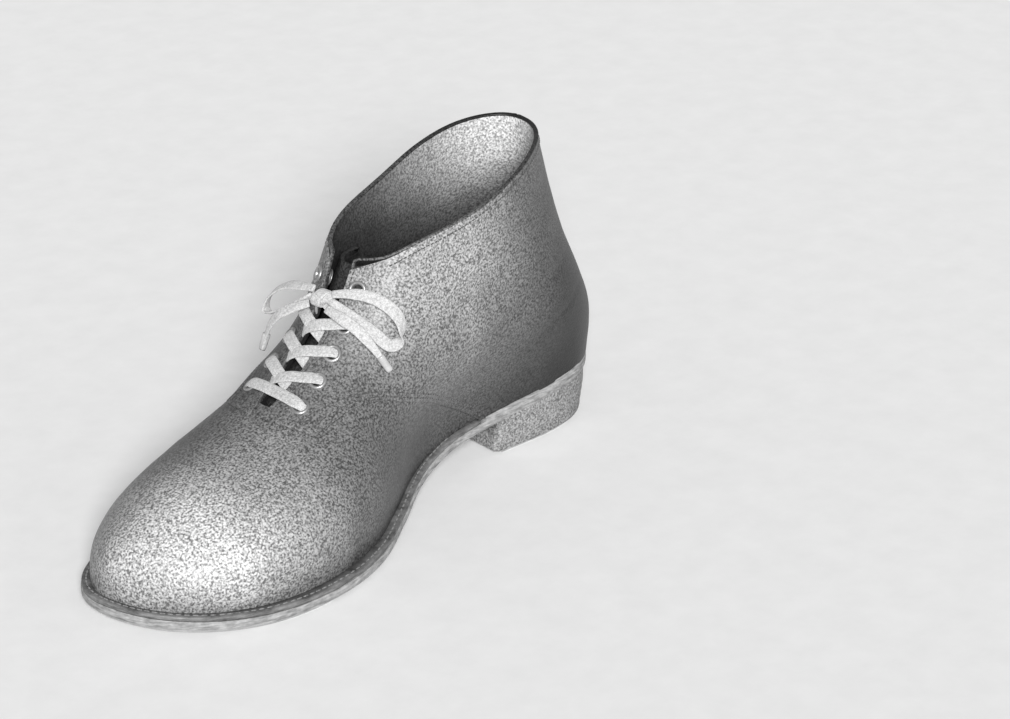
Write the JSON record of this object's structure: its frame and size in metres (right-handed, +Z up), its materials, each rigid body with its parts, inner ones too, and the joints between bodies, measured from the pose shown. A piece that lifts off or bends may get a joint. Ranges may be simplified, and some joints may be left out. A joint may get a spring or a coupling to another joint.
{
  "type": "tap shoe",
  "caption": "Ankle-high lace-up tap boot for the right foot, with a low stacked heel, metal taps and a tied bow.",
  "frame": {"origin": "on the ground under the middle of the boot's length and width", "axes": "+X towards the toe, +Y towards the medial (inner) side, +Z up"},
  "size_m": [0.2867, 0.1018, 0.134],
  "materials": {
    "upper_leather": "grained graphite-grey leather, softly burnished",
    "lining": "smooth grey lining leather",
    "stiffener": "pressed fibre board",
    "sole_leather": "pale sole leather with a trimmed edge",
    "cork": "ground cork",
    "spring_steel": "spring steel",
    "heel_stack": "stacked heel leather, stained grey",
    "heel_rubber": "hard rubber",
    "tap_metal": "cast alloy, worn bright",
    "screw_steel": "zinc-plated steel",
    "eyelet_metal": "pale enamelled metal",
    "lace": "flat woven cotton",
    "aglet": "clear-coated tip"
  },
  "bodies": {
    "boot": {"outsole": "sole_leather", "welt": "sole_leather", "cork_filler": "cork", "heel_seat": "sole_leather", "shank": "spring_steel", "insole_board": "stiffener", "sock_lining": "lining", "toe_tap": "tap_metal", "heel_tap": "tap_metal", "toe_tap_screws": "screw_steel", "heel_tap_screws": "screw_steel", "heel_nails": "screw_steel", "heel_top_piece": "heel_rubber", "heel_lift_lower": "heel_stack", "heel_lift_middle": "heel_stack", "heel_lift_upper": "heel_stack", "quarter_medial": "upper_leather", "quarter_lateral": "upper_leather", "vamp": "upper_leather", "toe_puff": "stiffener", "vamp_lining": "lining", "heel_counter": "stiffener", "quarter_lining": "lining", "eyelets_medial": "eyelet_metal", "eyelets_lateral": "eyelet_metal", "lace": "lace", "lace_knot": "lace", "bow_loop_medial": "lace", "bow_loop_lateral": "lace", "lace_end_medial": "lace", "lace_end_lateral": "lace", "aglet_medial": "aglet", "aglet_lateral": "aglet"},
    "tongue": {"tongue": "upper_leather"}
  },
  "joints": [
    {"name": "tongue_hinge", "type": "hinge", "parent": "boot", "child": "tongue", "pos_m": [0.0537, -0.00445, 0.049], "axis": [0, -1, 0], "range_deg": [0, 10]}
  ]
}
